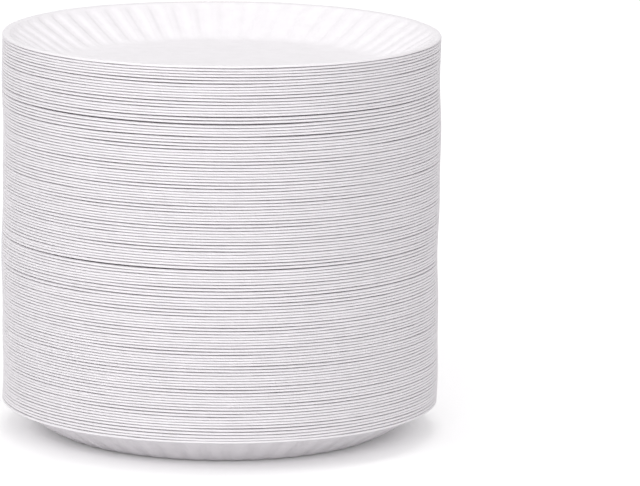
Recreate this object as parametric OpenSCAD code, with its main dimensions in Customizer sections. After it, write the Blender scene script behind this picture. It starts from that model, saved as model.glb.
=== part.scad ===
// Stack of pressed paperboard plates, nested one in the other on a level surface.
// Millimetres. The foot of the lowest plate stands on z = 0 and the stack's axis is z.
// A plate: flat well, hollow bend, fluted slope, narrow lip with its edge turned down.
// The lowest and the highest plate carry their flutes. The plates between them, of which
// only the lips show, follow the flutes' mean surface.

/* [Stack] */
// Plates in the stack
plate_count = 125; // [68:3:128]
// Vertical distance from one seated plate to the next
plate_pitch = 1.025; // [1.01:0.005:1.2]
// Largest sideways wander of a plate from the stack's axis
wander = 0.4; // [0:0.05:0.45]
// Unevenness of the seating, up and down
unevenness = 0.025; // [0:0.005:0.03]
// Tilt of a plate, degrees
tilt = 0.05; // [0:0.01:0.06]
// Extra height that a loosely seated plate adds
loose_rise = 0.25; // [0:0.05:0.4]

/* [Plate] */
// Outside diameter of a plate
plate_dia = 152.4; // [138:0.2:180]
// Height of the lip's lower edge above the foot
plate_depth = 10.8; // [9:0.1:13]
// Thickness of the pressed board
board = 0.4; // [0.3:0.01:0.42]
// Radius of the hollow bend between the flat well and the slope
cove_bend = 10; // [5:0.5:16]
// Angle of the fluted slope, degrees
slope_angle = 31.5; // [28:0.5:35]
// Width of the lip outside the slope, its turned-down edge included
lip_width = 2.2; // [1.6:0.1:4]
// Angle of the lip, which still rises a little, degrees
lip_angle = 8; // [2:0.5:12]
// Bend radius between slope and lip
lip_bend = 1.2; // [0.8:0.1:2.5]
// Width of the lip's turned-down edge
edge_width = 0.7; // [0.3:0.1:1.2]
// Angle at which the edge is turned down, degrees
edge_angle = 14; // [5:1:20]

/* [Flutes] */
// Flutes round a plate
flute_count = 52; // [36:1:56]
// Width of a flute on the board's upper face
flute_width = 5.2; // [3.6:0.1:5.4]
// Clear space between a fluted plate and its plain neighbour
flute_clearance = 0.16; // [0.14:0.01:0.25]
// Angle of a flute's walls to its floor, degrees
flute_wall_angle = 40; // [36:1:60]
// Distance from the foot of the slope to the flutes' inner ends
flute_start = 0.4; // [0.3:0.1:2]

/* [Hidden] */
// Highest plates that are single nodes: they surround the open dish of the top plate
top_singles = 25;
// Plates in a grouped node
group_size = 3;
groups = (plate_count - top_singles - 1) / group_size;
// Plates, counted from the bottom, that rest a little loosely on the one below
loose_plates = [50, 59, 103, 107, 109];
// Periods of the slow wander, in plates, and the share of the shorter one
wander_long = 67;
wander_short = 29;
wander_across = 53;
wander_share = 0.35;
// Turning steps that spread unevenness and tilt over the plates, degrees
uneven_step = 137.5;
tilt_step = 53;
// Chords in the bends
cove_chords = 3;
bend_chords = 2;
plate_sides = 180;
// Walls that round a flute's two ends
flute_walls = 8;
paper_colour = [0.97, 0.96, 0.97];

plate_r = plate_dia / 2;
lip_r = plate_r - lip_width;

// Underside, from the edge inwards: turned-down edge, lip, lip bend, slope, cove, well
edge_z = plate_depth + edge_width * tan(edge_angle);
lip_z = edge_z - (lip_width - edge_width) * tan(lip_angle);
slope_top_r = lip_r - lip_bend * (sin(slope_angle) - sin(lip_angle));
slope_top_z = lip_z - lip_bend * (cos(lip_angle) - cos(slope_angle));
well_r = slope_top_r - slope_top_z / tan(slope_angle) - cove_bend * tan(slope_angle / 2);
// Foot of the slope, where the cove ends
slope_r = well_r + cove_bend * sin(slope_angle);
slope_z = cove_bend * (1 - cos(slope_angle));

// Flutes: the depth is what the free space between nested slopes leaves
slope_space = plate_pitch * cos(slope_angle) - board;
flute_depth = 2 * (slope_space - flute_clearance);
flute_half = flute_width / 2;
flute_ramp = flute_depth / tan(flute_wall_angle);
floor_half = flute_half - flute_ramp;
under_floor_half = floor_half + board * tan(flute_wall_angle / 2);
// Distances up the slope, from its foot to the middles of a flute's round ends
slope_run = (slope_top_r - slope_r) / cos(slope_angle);
flute_first = flute_start + flute_half;
flute_last = slope_run - flute_half + lip_bend * sin(slope_angle) / 2;
flute_run = flute_last - flute_first;
flute_reach = slope_run + flute_width;
// How far the plates between lie under the slope of a fluted one
mean_drop = flute_depth / 2;

// A point of a path under the board: radius, height, angle of the board there
lip_rim = [[plate_r - edge_width, edge_z, (lip_angle - edge_angle) / 2],
    [plate_r, plate_depth, 0]];
function cove_path() = [for (k = [0:cove_chords])
    let (a = slope_angle * k / cove_chords)
    [well_r + cove_bend * sin(a), cove_bend * (1 - cos(a)), a]];
function lip_path() = concat([for (k = [0:bend_chords])
    let (a = slope_angle + (lip_angle - slope_angle) * k / bend_chords)
    [slope_top_r + lip_bend * (sin(slope_angle) - sin(a)),
     slope_top_z + lip_bend * (cos(a) - cos(slope_angle)), a]],
    lip_rim);
// A point on the slope, s up from its foot and sunk by d
function slope_point(s, d) =
    [slope_r + s * cos(slope_angle) + d * sin(slope_angle),
     slope_z + s * sin(slope_angle) - d * cos(slope_angle), slope_angle];
// The mean surface sinks where the flutes bulge down, and comes up again in the lip's bend
function mean_path() = [slope_point(flute_first - under_floor_half - flute_ramp, 0),
    slope_point(flute_first - under_floor_half, mean_drop),
    slope_point(flute_last + under_floor_half, mean_drop)];
// The same path, moved up through the board by the share h of its thickness
function raised(path, h) = [for (p = path)
    [p[0] - (p[2] == 0 ? 0 : h * board * sin(p[2])), p[1] + h * board * cos(p[2])]];
function backwards(points) = [for (k = [len(points) - 1:-1:0]) points[k]];

fluted_path = concat(cove_path(), lip_path());
plain_path = concat(cove_path(), mean_path(), [[lip_r, lip_z, lip_angle]], lip_rim);

// Place of plate i, counted from 0 at the bottom
function loose_below(i) = len([for (n = loose_plates) if (n - 1 <= i) n]);
function seat_z(i) = i * plate_pitch + unevenness * sin(uneven_step * i)
    + loose_rise * loose_below(i);
function wander_x(i) = wander * ((1 - wander_share) * sin(360 * i / wander_long)
    + wander_share * sin(360 * i / wander_short));
function wander_y(i) = wander * sin(360 * i / wander_across);
function tilt_x(i) = tilt * sin(tilt_step * i);
function tilt_y(i) = tilt * sin(2 * tilt_step * i);

function padded(i) = str(i < 100 ? "0" : "", i < 10 ? "0" : "", i);
function group_first(g) = 2 + group_size * g;
function group_last(g) = group_first(g) + group_size - 1;
function single_number(k) = plate_count - top_singles + 1 + k;
function group_name(g) = str("plates_", padded(group_first(g)), "_", padded(group_last(g)));
function single_name(k) = str("plate_", padded(single_number(k)));

module board_ring(path) {
    rotate_extrude($fn = plate_sides)
        polygon(concat([[0, 0]], raised(path, 0), backwards(raised(path, 1)), [[0, board]]));
}

// One wall of a flute with its floor, moved out by t: a prism, open to the other side.
// Height 0 is the board's upper face, and the prism ends at the height top.
module flute_wall(t, top) {
    floor_x = floor_half + t * tan(flute_wall_angle / 2);
    top_x = floor_x + (top + flute_depth + t) / tan(flute_wall_angle);
    rotate([90, 0, 0])
        linear_extrude(height = 2 * flute_reach, center = true)
            polygon([[-flute_reach, -flute_depth - t], [floor_x, -flute_depth - t],
                [top_x, top], [-flute_reach, top]]);
}

// One flute: walls stand all round it, those that face inwards at the middle of its inner end
module flute(t, top) {
    translate([slope_r, 0, slope_z])
        rotate([0, -slope_angle, 0])
            translate([flute_first, 0, board])
                intersection_for(k = [0:flute_walls - 1])
                    translate([cos(360 * k / flute_walls) < -0.01 ? 0 : flute_run, 0, 0])
                        rotate([0, 0, 360 * k / flute_walls])
                            flute_wall(t, top);
}

module flutes(t, top) {
    for (k = [0:flute_count - 1])
        rotate([0, 0, 360 * k / flute_count])
            flute(t, top);
}

// The board bulges down under each flute, as far as the flute is sunk in from above
module fluted_plate() {
    difference() {
        union() {
            board_ring(fluted_path);
            flutes(board, -board / 2);
        }
        flutes(0, board / 2);
    }
}

module plain_plate() {
    board_ring(plain_path);
}

module placed(i) {
    translate([wander_x(i), wander_y(i), seat_z(i)])
        rotate([tilt_x(i), tilt_y(i), 0])
            children();
}

module bottom_plate() {
    color(paper_colour) fluted_plate();
}

module plate_group(g) {
    color(paper_colour)
        for (n = [group_first(g):group_last(g)])
            placed(n - 1) plain_plate();
}

module single_plate(k) {
    color(paper_colour)
        placed(single_number(k) - 1) {
            if (single_number(k) == plate_count) fluted_plate();
            else plain_plate();
        }
}

bottom_plate();  // plate_001
for (g = [0:groups - 1])
    plate_group(g);
for (k = [0:top_singles - 1])
    single_plate(k);
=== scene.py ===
"""Stack of pressed paper plates: the visible model, over the CAD frame."""

import math

import bmesh
import bpy
from bpy.props import FloatProperty, IntProperty, PointerProperty, StringProperty
from bpy.types import Operator, Panel, PropertyGroup
from mathutils import Euler, Matrix, Quaternion, Vector


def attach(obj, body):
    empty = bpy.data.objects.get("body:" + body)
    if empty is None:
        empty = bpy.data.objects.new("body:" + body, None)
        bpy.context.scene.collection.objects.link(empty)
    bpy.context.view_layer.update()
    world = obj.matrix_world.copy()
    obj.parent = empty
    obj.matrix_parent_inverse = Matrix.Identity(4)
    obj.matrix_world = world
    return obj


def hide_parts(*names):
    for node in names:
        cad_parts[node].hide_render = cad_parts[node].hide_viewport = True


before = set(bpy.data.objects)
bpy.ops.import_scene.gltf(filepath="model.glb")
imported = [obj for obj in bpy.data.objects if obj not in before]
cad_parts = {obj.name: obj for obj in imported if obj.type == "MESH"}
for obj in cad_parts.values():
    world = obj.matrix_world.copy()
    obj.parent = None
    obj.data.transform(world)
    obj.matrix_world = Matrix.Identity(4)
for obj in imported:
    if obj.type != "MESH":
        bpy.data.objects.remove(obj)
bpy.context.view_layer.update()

bl_info = {
    "name": "Stack of pressed paper plates",
    "version": (1, 1, 0),
    "blender": (4, 5, 0),
    "location": "View3D > Sidebar > Plates",
    "description": "Dresses the CAD stack with fluted paperboard plates",
    "category": "Object",
}

MM = 0.001
PURE_WHITE = "FFFFFF"

# Plates, counted from the bottom, that rest a little loosely on the one below
LOOSE_PLATES = (50, 59, 103, 107, 109)
# Periods of the slow sideways wander, in plates, and the share of the shorter one
WANDER_LONG = 67
WANDER_SHORT = 29
WANDER_ACROSS = 53
SHORT_SHARE = 0.35
# Turning steps that spread unevenness, lip waves and tilt over the plates, in degrees
UNEVEN_STEP = 137.5
TILT_STEP = 53

# Fineness of a fluted plate
SIDES_PER_FLUTE = 16
SLOPE_STEPS = 18
FINE_BEND_STEPS = 4
FINE_COVE_STEPS = 7
FINE_EDGE_SEGMENTS = 2
# Fineness of a plate between, of which only the lip shows
PLAIN_SIDES = 120
PLAIN_BEND_STEPS = 2
PLAIN_COVE_STEPS = 2
PLAIN_EDGE_SEGMENTS = 1

# The curled edge from the rim inwards, as shares of its width and of its drop. It is steeper
# near the rim, and inwards it eases into the lip.
CURL = ((0, 1), (0.45, 0.25), (1.15, 0))
# The plates between leave the slope and sink to the flutes' mean surface: where this starts
# and ends above the slope's foot, and where they come up again below its top
SINK_START = 0.25 * MM
SINK_END = 1.0 * MM
RISE_FROM_TOP = 0.3 * MM
# The lip waves: how long a wave is, and how far inside the lip it fades
WAVE_LENGTH = 0.05
WAVE_FADE = 12 * MM
# Rounding of the board's cut edge, as a share of its thickness, and the angles from which an
# edge is rounded or shown sharp
CUT_ROUNDING = 0.2
ROUNDED_FROM = math.radians(60)
SHARP_FROM = math.radians(40)

# The floor's size, and the hair by which it lies under the foot, so that the two faces don't
# coincide
FLOOR_SIZE = 12
FLOOR_DROP = 0.05 * MM
# The soft lamps' places and sizes. Those in front and on the left stand low enough to light
# the lips' edges, and high enough to spare the foot.
LAMPS = {"overhead": ((0.1, 0.3, 2.0), (0.8, 0.8)),
         "front": ((0.1, -1.9, 0.85), (1.6, 0.7)),
         "left": ((-1.3, -1.1, 1.2), (0.8, 0.8))}
STACK_MIDDLE = (0, 0, 0.07)
# The camera looks past the stack's axis, so that the stack stands on the left
CAMERA_AIM = (0.0347, 0, 0.0657)


# Sizes and colours


class PlateSizes(PropertyGroup):
    diameter: FloatProperty(
        name="Diameter", description="Outside diameter of a plate", default=0.1524, unit="LENGTH")
    depth: FloatProperty(
        name="Depth", description="Height of the lip above the foot, where its edge curls down",
        default=0.01097, unit="LENGTH", precision=6)
    board: FloatProperty(
        name="Board", description="Thickness of the pressed board",
        default=0.0004, unit="LENGTH", precision=6)
    cove: FloatProperty(
        name="Cove", description="Radius of the hollow bend between the flat well and the slope",
        default=0.010, unit="LENGTH")
    slope_angle: FloatProperty(
        name="Slope angle", description="Slant of the fluted slope",
        default=math.radians(31.5), subtype="ANGLE")
    lip_width: FloatProperty(
        name="Lip width", description="Width of the lip with its curled edge",
        default=0.0022, unit="LENGTH")
    lip_angle: FloatProperty(
        name="Lip angle", description="Slant of the lip, which still rises a little",
        default=math.radians(8), subtype="ANGLE")
    lip_bend: FloatProperty(
        name="Lip bend", description="Bend radius between slope and lip",
        default=0.0012, unit="LENGTH")
    edge_width: FloatProperty(
        name="Edge width", description="Width of the lip's edge that the die curls down",
        default=0.0004, unit="LENGTH", precision=6)
    edge_angle: FloatProperty(
        name="Edge angle", description="Mean slant of the curled edge",
        default=math.radians(50), subtype="ANGLE")
    lip_waves: FloatProperty(
        name="Lip waves", description="How far a lip waves up and down",
        default=0.0006, unit="LENGTH", precision=6)
    flutes: IntProperty(name="Flutes", description="Flutes round a plate", default=52, min=12)
    flute_width: FloatProperty(
        name="Flute width", description="Width of a flute at the lip; it narrows inwards",
        default=0.0060, unit="LENGTH")
    flute_side: FloatProperty(
        name="Flute side", description="Width of a flute's side, from its upper edge to its floor",
        default=0.0025, unit="LENGTH")
    flute_depth: FloatProperty(
        name="Flute depth", description="Depth of a flute",
        default=0.00066, unit="LENGTH", precision=6)
    flute_fade: FloatProperty(
        name="Flute fade", description="Length over which a flute runs out in the cove",
        default=0.011, unit="LENGTH")


class StackSizes(PropertyGroup):
    pitch: FloatProperty(
        name="Pitch", description="Height that each plate adds", default=0.001025,
        unit="LENGTH", precision=6)
    loose_rise: FloatProperty(
        name="Loose rise", description="Extra height of a loosely seated plate",
        default=0.00025, unit="LENGTH", precision=6)
    unevenness: FloatProperty(
        name="Unevenness", description="Unevenness of the seating", default=0.000025,
        unit="LENGTH", precision=6)
    wander: FloatProperty(
        name="Wander", description="Largest sideways wander of a plate", default=0.0004,
        unit="LENGTH", precision=6)
    tilt: FloatProperty(
        name="Tilt", description="Tilt of a plate", default=math.radians(0.05), subtype="ANGLE")


class PaperLooks(PropertyGroup):
    board: StringProperty(
        name="Board", description="Colour of the board, sRGB hex", default="F6F3F6")
    fibres: StringProperty(
        name="Fibres", description="Colour of denser fibre flocks, sRGB hex", default="F2EFF2")
    floor: StringProperty(
        name="Floor", description="Colour of the floor, sRGB hex", default="EEEDEE")


class StageSettings(PropertyGroup):
    lens: FloatProperty(
        name="Lens", description="Focal length on a sensor 36 mm wide, in mm", default=322)
    distance: FloatProperty(
        name="Distance", description="From the camera to the point that it looks at",
        default=2.0, unit="LENGTH")
    elevation: FloatProperty(
        name="Elevation", description="How far the camera looks down",
        default=math.radians(10.66), subtype="ANGLE")
    roll: FloatProperty(
        name="Roll", description="How far the camera leans", default=math.radians(0.62),
        subtype="ANGLE")
    daylight: FloatProperty(
        name="Daylight", description="Strength of the even light from all round", default=0.6)
    overhead: FloatProperty(
        name="Overhead", description="Power of the soft light above the stack", default=6.2,
        unit="POWER")
    front: FloatProperty(
        name="Front", description="Power of the soft light in front", default=14.0, unit="POWER")
    left: FloatProperty(
        name="Left", description="Power of the soft light on the left", default=6.5, unit="POWER")


# The plate's form. Radii and heights are those of the board's underside.


def lip_foot(p):
    """Radius and height where the lip meets its bend."""
    return (p.diameter / 2 - p.lip_width,
            p.depth - (p.lip_width - p.edge_width) * math.tan(p.lip_angle))


def slope_top(p):
    """Radius and height where the slope meets the lip's bend."""
    r, z = lip_foot(p)
    return (r - p.lip_bend * (math.sin(p.slope_angle) - math.sin(p.lip_angle)),
            z - p.lip_bend * (math.cos(p.lip_angle) - math.cos(p.slope_angle)))


def well_radius(p):
    """Radius of the flat well, on which the plate stands."""
    r, z = slope_top(p)
    return r - z / math.tan(p.slope_angle) - p.cove * math.tan(p.slope_angle / 2)


def slope_foot(p):
    """Radius and height where the cove meets the slope."""
    return (well_radius(p) + p.cove * math.sin(p.slope_angle),
            p.cove * (1 - math.cos(p.slope_angle)))


def slope_run(p):
    """Length of the slope between its foot and its top."""
    return (slope_top(p)[0] - slope_foot(p)[0]) / math.cos(p.slope_angle)


def slope_point(p, s, sunk):
    """A point s up the slope from its foot, sunk at right angles to it."""
    r, z = slope_foot(p)
    return (r + s * math.cos(p.slope_angle) + sunk * math.sin(p.slope_angle),
            z + s * math.sin(p.slope_angle) - sunk * math.cos(p.slope_angle))


def lip_rings(p, bend_steps):
    """The lip and its bend as rings (radius, height), edge first."""
    drop = p.edge_width * math.tan(p.edge_angle)
    # The board's upper face reaches out over the underside where the edge curls down
    rim = p.diameter / 2 - p.board * math.sin(p.edge_angle)
    rings = [(rim - along * p.edge_width, p.depth - down * drop) for along, down in CURL]
    top_r, top_z = slope_top(p)
    for k in range(bend_steps + 1):
        a = p.lip_angle + (p.slope_angle - p.lip_angle) * k / bend_steps
        rings.append((top_r + p.lip_bend * (math.sin(p.slope_angle) - math.sin(a)),
                      top_z + p.lip_bend * (math.cos(a) - math.cos(p.slope_angle))))
    return rings


def cove_rings(p, steps):
    """The cove from the slope's foot down to the well."""
    rings = []
    for k in range(steps + 1):
        a = p.slope_angle * (1 - k / steps)
        rings.append((well_radius(p) + p.cove * math.sin(a), p.cove * (1 - math.cos(a))))
    return rings


def fluted_rings(p):
    """Close rings, which the flutes are then sunk into."""
    slope = [slope_point(p, slope_run(p) * (1 - k / SLOPE_STEPS), 0)
             for k in range(1, SLOPE_STEPS)]
    return lip_rings(p, FINE_BEND_STEPS) + slope + cove_rings(p, FINE_COVE_STEPS)


def plain_rings(p):
    """Few rings, on the mean surface of the flutes: of these plates only the lips show."""
    sunk = p.flute_depth / 2
    slope = [slope_point(p, slope_run(p) - RISE_FROM_TOP, sunk),
             slope_point(p, SINK_END, sunk), slope_point(p, SINK_START, 0)]
    return lip_rings(p, PLAIN_BEND_STEPS)[:-1] + slope + cove_rings(p, PLAIN_COVE_STEPS)[1:]


def flute_share(p, r, turn):
    """How deep the board is sunk at radius r and angle turn, from 0 to 1.

    A flute's sides have crisp upper edges and turn softly into its floor. It has a round end
    at the lip, and runs out in the cove.
    """
    # Distance up the slope from its foot, and to the middle of a flute's round end
    s = (r - slope_foot(p)[0]) / math.cos(p.slope_angle)
    half = p.flute_width / 2
    last = slope_run(p) - half + p.lip_bend * math.sin(p.slope_angle) / 2
    pitch = 2 * math.pi / p.flutes
    # Taken at the slope's top for every radius, so that a flute narrows inwards
    across = slope_top(p)[0] * ((turn + pitch / 2) % pitch - pitch / 2)
    side = min(max((half - math.hypot(max(s - last, 0), across)) / p.flute_side, 0), 1)
    fade = min(max(s / p.flute_fade + 0.5, 0), 1)
    return side * (2 - side) * fade * fade * (3 - 2 * fade)


# Modelling helpers


def only(obj):
    """Select this object alone and make it the active one."""
    bpy.ops.object.select_all(action="DESELECT")
    obj.select_set(True)
    bpy.context.view_layer.objects.active = obj


def apply(obj, kind, **settings):
    """Add a modifier with these settings and apply it."""
    only(obj)
    modifier = obj.modifiers.new(kind, kind)
    for key, value in settings.items():
        setattr(modifier, key, value)
    bpy.ops.object.modifier_apply(modifier=modifier.name)


def pressed_sheet(name, path, sides):
    """A sheet through the rings of path: a circle drawn at the edge and extruded inwards."""
    bpy.ops.object.select_all(action="DESELECT")
    radius, height = path[0]
    bpy.ops.mesh.primitive_circle_add(vertices=sides, radius=radius, location=(0, 0, 0))
    sheet = bpy.context.object
    sheet.name = name
    bpy.ops.object.mode_set(mode="EDIT")
    bpy.ops.mesh.select_all(action="SELECT")
    bpy.ops.transform.translate(value=(0, 0, height))
    for r, z in path[1:]:
        bpy.ops.mesh.extrude_edges_move()
        bpy.ops.transform.resize(value=(r / radius, r / radius, 1), center_override=(0, 0, height))
        bpy.ops.transform.translate(value=(0, 0, z - height))
        radius, height = r, z
    bpy.ops.mesh.edge_face_add()
    bpy.ops.mesh.select_all(action="SELECT")
    bpy.ops.mesh.normals_make_consistent(inside=False)
    mesh = bmesh.from_edit_mesh(sheet.data)
    mesh.faces.ensure_lookup_table()
    well = max(mesh.faces, key=lambda face: len(face.verts))
    if well.normal.z < 0:
        bpy.ops.mesh.flip_normals()
    bpy.ops.object.mode_set(mode="OBJECT")
    return sheet


def weigh(sheet, name, share):
    """A vertex group whose weights are share(vertex place)."""
    group = sheet.vertex_groups.new(name=name)
    for vertex in sheet.data.vertices:
        weight = share(vertex.co)
        if weight > 0:
            group.add([vertex.index], weight, "REPLACE")
    return name


def wave_lip(sheet, p):
    """Real lips spring back unevenly from the press, so they wave a little."""
    inner = p.diameter / 2 - p.lip_width - WAVE_FADE
    group = weigh(sheet, "lip", lambda co: min(max(
        (math.hypot(co.x, co.y) - inner) / WAVE_FADE, 0), 1) ** 2)
    waves = bpy.data.textures.new("Lip waves", type="CLOUDS")
    waves.noise_scale = WAVE_LENGTH
    apply(sheet, "DISPLACE", texture=waves, texture_coords="LOCAL", direction="Z",
          strength=p.lip_waves, mid_level=0.5, vertex_group=group)
    sheet.vertex_groups.clear()


def board_thickness(sheet, p, segments):
    """The sheet is the underside. The board goes up from it, its cut edge a little rounded."""
    apply(sheet, "SOLIDIFY", thickness=p.board, offset=1.0, use_even_offset=True)
    apply(sheet, "BEVEL", width=p.board * CUT_ROUNDING, segments=segments, limit_method="ANGLE",
          angle_limit=ROUNDED_FROM)
    only(sheet)
    bpy.ops.object.shade_smooth_by_angle(angle=SHARP_FROM)


def copy_of(obj, name):
    """A copy with its own mesh."""
    twin = obj.copy()
    twin.data = obj.data.copy()
    twin.name = name
    bpy.context.collection.objects.link(twin)
    return twin


def place(obj, matrix):
    """Move a finished plate into the stack, with its place in its mesh."""
    obj.matrix_world = matrix
    only(obj)
    bpy.ops.object.transform_apply(location=True, rotation=True, scale=True)


def seat(stack, number):
    """Where plate number, counted from 1 at the bottom, lies in the stack."""
    i = number - 1
    height = i * stack.pitch + stack.unevenness * math.sin(math.radians(UNEVEN_STEP * i))
    height += stack.loose_rise * sum(1 for n in LOOSE_PLATES if n <= number)
    x = ((1 - SHORT_SHARE) * math.sin(2 * math.pi * i / WANDER_LONG)
         + SHORT_SHARE * math.sin(2 * math.pi * i / WANDER_SHORT))
    y = math.sin(2 * math.pi * i / WANDER_ACROSS)
    tilt = Euler((stack.tilt * math.sin(math.radians(TILT_STEP * i)),
                  stack.tilt * math.sin(math.radians(2 * TILT_STEP * i)), 0))
    at = Vector((stack.wander * x, stack.wander * y, height))
    return Matrix.Translation(at) @ tilt.to_matrix().to_4x4()


# Materials


def linear(code):
    """sRGB hex to a linear colour."""
    out = []
    for k in (0, 2, 4):
        c = int(code[k:k + 2], 16) / 255
        out.append(c / 12.92 if c <= 0.04045 else ((c + 0.055) / 1.055) ** 2.4)
    return (*out, 1.0)


def add(tree, kind, settings=None, links=None):
    """Add a node.

    settings are properties or named sockets. links are {socket's name or number: output}.
    """
    node = tree.nodes.new(kind)
    for key, value in (settings or {}).items():
        if key in node.inputs:
            node.inputs[key].default_value = value
        else:
            setattr(node, key, value)
    for key, output in (links or {}).items():
        tree.links.new(output, node.inputs[key])
    return node


def paperboard(looks):
    """Uncoated white paperboard, pressed hot between dies.

    It is matt, with a faint cloudy look where fibre flocks lie denser, and a fine felt of
    fibres in the surface, smoothed down by the die.
    """
    material = bpy.data.materials.new("Uncoated white paperboard")
    material.use_nodes = True
    tree = material.node_tree
    shader = tree.nodes["Principled BSDF"]
    where = add(tree, "ShaderNodeTexCoord").outputs["Object"]
    # Flocks of fibres are 3 to 6 mm across
    flocks = add(tree, "ShaderNodeTexNoise", {"Scale": 1 / (4.5 * MM), "Detail": 3.0,
                 "Roughness": 0.55}, {"Vector": where})
    cloudy = add(tree, "ShaderNodeMapRange", {"From Min": 0.35, "From Max": 0.7},
                 {"Value": flocks.outputs["Fac"]})
    mix = add(tree, "ShaderNodeMix", {"data_type": "RGBA"},
              {"Factor": cloudy.outputs["Result"]})
    colours = [socket for socket in mix.inputs if socket.type == "RGBA"]
    colours[0].default_value = linear(looks.board)
    colours[1].default_value = linear(looks.fibres)
    mixed = [socket for socket in mix.outputs if socket.type == "RGBA"][0]
    tree.links.new(mixed, shader.inputs["Base Color"])
    # Fibres are 0.02 mm thick. They are drawn at 0.35 mm, the finest that shows
    fibres = add(tree, "ShaderNodeTexNoise", {"Scale": 1 / (0.35 * MM), "Detail": 4.0,
                 "Roughness": 0.6, "Distortion": 1.2}, {"Vector": where})
    bump = add(tree, "ShaderNodeBump", {"Strength": 0.06, "Distance": 0.03 * MM},
               {"Height": fibres.outputs["Fac"]})
    tree.links.new(bump.outputs["Normal"], shader.inputs["Normal"])
    rough = add(tree, "ShaderNodeMapRange", {"To Min": 0.72, "To Max": 0.86},
                {"Value": fibres.outputs["Fac"]})
    tree.links.new(rough.outputs["Result"], shader.inputs["Roughness"])
    shader.inputs["IOR"].default_value = 1.45
    shader.inputs["Specular IOR Level"].default_value = 0.35
    return material


def shared_paper(context):
    """The one paperboard of all the plates, made when it is first asked for."""
    found = bpy.data.materials.get("Uncoated white paperboard")
    return found or paperboard(context.scene.paper_looks)


def dress(obj, node, material):
    """Give a piece its material, and let it stand for its CAD node."""
    obj.data.materials.clear()
    obj.data.materials.append(material)
    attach(obj, "root")
    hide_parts(node)


def plates_of_nodes():
    """Each CAD node with its first and last plate, from its name, and the highest plate."""
    spans = []
    for node in sorted(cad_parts):
        numbers = node.split("_")[1:]
        spans.append((node, int(numbers[0]), int(numbers[-1])))
    return spans, max(high for node, low, high in spans)


# Operators


class PLATES_OT_fluted(Operator):
    """Model the lowest and the highest plate, whose flutes are open to view"""

    bl_idname = "plates.fluted"
    bl_label = "Fluted plates"

    def execute(self, context):
        p, stack = context.scene.plate_sizes, context.scene.stack_sizes
        sheet = pressed_sheet("fluted", fluted_rings(p), SIDES_PER_FLUTE * p.flutes)
        group = weigh(sheet, "flutes", lambda co: flute_share(
            p, math.hypot(co.x, co.y), math.atan2(co.y, co.x)))
        apply(sheet, "DISPLACE", direction="Z", mid_level=0.0, vertex_group=group,
              strength=-p.flute_depth / math.cos(p.slope_angle))
        sheet.vertex_groups.clear()
        wave_lip(sheet, p)
        board_thickness(sheet, p, FINE_EDGE_SEGMENTS)
        spans, highest = plates_of_nodes()
        for node, low, high in spans:
            if low in (1, highest):
                plate = copy_of(sheet, "fluted_" + node)
                place(plate, seat(stack, low))
                dress(plate, node, shared_paper(context))
        bpy.data.objects.remove(sheet)
        return {"FINISHED"}


class PLATES_OT_plain(Operator):
    """Model the plates between, of which the lips show"""

    bl_idname = "plates.plain"
    bl_label = "Plates between"

    def execute(self, context):
        p, stack = context.scene.plate_sizes, context.scene.stack_sizes
        sheet = pressed_sheet("between", plain_rings(p), PLAIN_SIDES)
        wave_lip(sheet, p)
        board_thickness(sheet, p, PLAIN_EDGE_SEGMENTS)
        spans, highest = plates_of_nodes()
        for node, low, high in spans:
            if low in (1, highest):
                continue
            group = []
            for number in range(low, high + 1):
                plate = copy_of(sheet, "between_" + node)
                # No two neighbours lie the same way round, so their lips wave differently
                spin = Matrix.Rotation(math.radians(UNEVEN_STEP * number), 4, "Z")
                place(plate, seat(stack, number) @ spin)
                group.append(plate)
            if len(group) > 1:
                bpy.ops.object.select_all(action="DESELECT")
                for plate in group:
                    plate.select_set(True)
                bpy.context.view_layer.objects.active = group[0]
                bpy.ops.object.join()
            group[0].name = "between_" + node
            dress(group[0], node, shared_paper(context))
        bpy.data.objects.remove(sheet)
        return {"FINISHED"}


class PLATES_OT_stage(Operator):
    """Lay the floor and set the soft lights, the white surroundings and the camera"""

    bl_idname = "plates.stage"
    bl_label = "Stage"

    def execute(self, context):
        settings = context.scene.stage_settings
        bpy.ops.object.select_all(action="DESELECT")
        bpy.ops.mesh.primitive_plane_add(size=FLOOR_SIZE, location=(0, 0, -FLOOR_DROP))
        floor = bpy.context.object
        floor.name = "floor"
        floor.data.materials.append(floor_white(context.scene.paper_looks))
        for name, (at, size) in LAMPS.items():
            self.lamp(name, at, size, getattr(settings, name))
        white_surroundings(context.scene)
        self.camera(context.scene)
        context.scene.view_settings.view_transform = "Standard"
        return {"FINISHED"}

    def lamp(self, name, at, size, power):
        """A soft lamp that points at the middle of the stack."""
        light = bpy.data.lights.new(name, "AREA")
        light.shape = "RECTANGLE"
        light.size, light.size_y = size
        light.energy = power
        obj = bpy.data.objects.new(name, light)
        bpy.context.collection.objects.link(obj)
        obj.location = at
        beam = Vector(STACK_MIDDLE) - Vector(at)
        obj.rotation_euler = beam.to_track_quat("-Z", "Y").to_euler()

    def camera(self, scene):
        """A long lens, far off, that looks a little down on the stack."""
        settings = scene.stage_settings
        data = bpy.data.cameras.new("camera")
        data.sensor_width = 36
        data.lens = settings.lens
        data.clip_end = 50
        obj = bpy.data.objects.new("camera", data)
        bpy.context.collection.objects.link(obj)
        back = Vector((0, -math.cos(settings.elevation), math.sin(settings.elevation)))
        obj.location = Vector(CAMERA_AIM) + settings.distance * back
        lean = Quaternion((0, 0, 1), settings.roll)
        obj.rotation_euler = (back.to_track_quat("Z", "Y") @ lean).to_euler()
        scene.camera = obj


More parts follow.
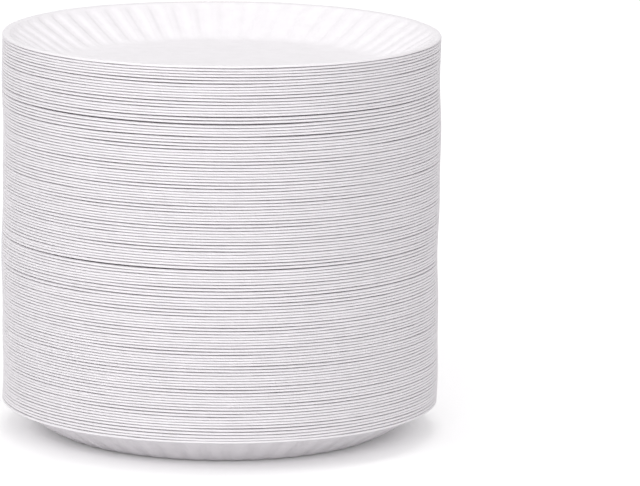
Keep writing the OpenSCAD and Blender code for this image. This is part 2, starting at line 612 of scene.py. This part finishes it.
def floor_white(looks):
    """Matt white floor.

    To the camera and in reflections it glows a little, so that it turns to pure white where no
    shadow lies. The glow is weakest under the stack and grows away from it: painted shade that
    deepens the stack's shadow on the floor.
    """
    material = bpy.data.materials.new("Matt white floor")
    material.use_nodes = True
    tree = material.node_tree
    tree.nodes.clear()
    diffuse = add(tree, "ShaderNodeBsdfDiffuse", {"Color": linear(looks.floor)}).outputs[0]
    away = add(tree, "ShaderNodeVectorMath", {"operation": "LENGTH"},
               {"Vector": add(tree, "ShaderNodeTexCoord").outputs["Object"]}).outputs["Value"]
    # Painted shade: the glow is least under the stack, grows quickly under the lips, and then
    # slowly to the far end of the floor
    near = add(tree, "ShaderNodeMapRange", {"From Min": 0.06, "From Max": 0.08, "To Min": 0.1,
               "To Max": 0.32}, {"Value": away})
    far = add(tree, "ShaderNodeMapRange", {"From Min": 0.08, "From Max": 0.9, "To Min": 0.0,
              "To Max": 0.14}, {"Value": away})
    glow_with_painted_shade = add(tree, "ShaderNodeMath", {"operation": "ADD"},
               {0: near.outputs["Result"], 1: far.outputs["Result"]})
    glow = add(tree, "ShaderNodeEmission", {"Color": linear(PURE_WHITE)},
               {"Strength": glow_with_painted_shade.outputs[0]})
    lifted = add(tree, "ShaderNodeAddShader", None, {0: diffuse, 1: glow.outputs[0]})
    mix = add(tree, "ShaderNodeMixShader", None,
              {"Fac": seen_directly(tree), 1: diffuse, 2: lifted.outputs[0]})
    add(tree, "ShaderNodeOutputMaterial", None, {"Surface": mix.outputs[0]})
    return material


def seen_directly(tree):
    """1 for camera, glossy and transmission rays."""
    path = add(tree, "ShaderNodeLightPath")
    first = add(tree, "ShaderNodeMath", {"operation": "MAXIMUM"},
                {0: path.outputs["Is Camera Ray"], 1: path.outputs["Is Glossy Ray"]})
    second = add(tree, "ShaderNodeMath", {"operation": "MAXIMUM"},
                 {0: first.outputs[0], 1: path.outputs["Is Transmission Ray"]})
    return second.outputs[0]


def white_surroundings(scene):
    """Soft even light from all round, and pure white where the camera sees past the floor."""
    world = bpy.data.worlds.new("White surroundings")
    scene.world = world
    world.use_nodes = True
    tree = world.node_tree
    tree.nodes.clear()
    white = linear(PURE_WHITE)
    light = add(tree, "ShaderNodeBackground",
                {"Color": white, "Strength": scene.stage_settings.daylight})
    seen = add(tree, "ShaderNodeBackground", {"Color": white, "Strength": 1.0})
    mix = add(tree, "ShaderNodeMixShader", None,
              {"Fac": seen_directly(tree), 1: light.outputs[0], 2: seen.outputs[0]})
    add(tree, "ShaderNodeOutputWorld", None, {"Surface": mix.outputs[0]})


class PLATES_PT_panel(Panel):
    """The steps that dress the stack"""

    bl_idname = "PLATES_PT_panel"
    bl_label = "Stack of paper plates"
    bl_space_type = "VIEW_3D"
    bl_region_type = "UI"
    bl_category = "Plates"

    def draw(self, context):
        layout = self.layout
        for group in GROUPS:
            box = layout.box()
            settings = getattr(context.scene, group)
            # rna_type and name are Blender's own
            for name in settings.bl_rna.properties.keys():
                if name not in ("rna_type", "name"):
                    box.prop(settings, name)
        for operator in STEPS:
            layout.operator(operator.bl_idname)


GROUPS = {"plate_sizes": PlateSizes, "stack_sizes": StackSizes, "paper_looks": PaperLooks,
          "stage_settings": StageSettings}
STEPS = (PLATES_OT_fluted, PLATES_OT_plain, PLATES_OT_stage)
CLASSES = (*GROUPS.values(), *STEPS, PLATES_PT_panel)


def register():
    for cls in CLASSES:
        bpy.utils.register_class(cls)
    for name, group in GROUPS.items():
        setattr(bpy.types.Scene, name, PointerProperty(type=group))


def unregister():
    for name in GROUPS:
        delattr(bpy.types.Scene, name)
    for cls in reversed(CLASSES):
        bpy.utils.unregister_class(cls)


def main():
    register()
    bpy.ops.plates.fluted()
    bpy.ops.plates.plain()
    bpy.ops.plates.stage()


if __name__ == "__main__":
    main()
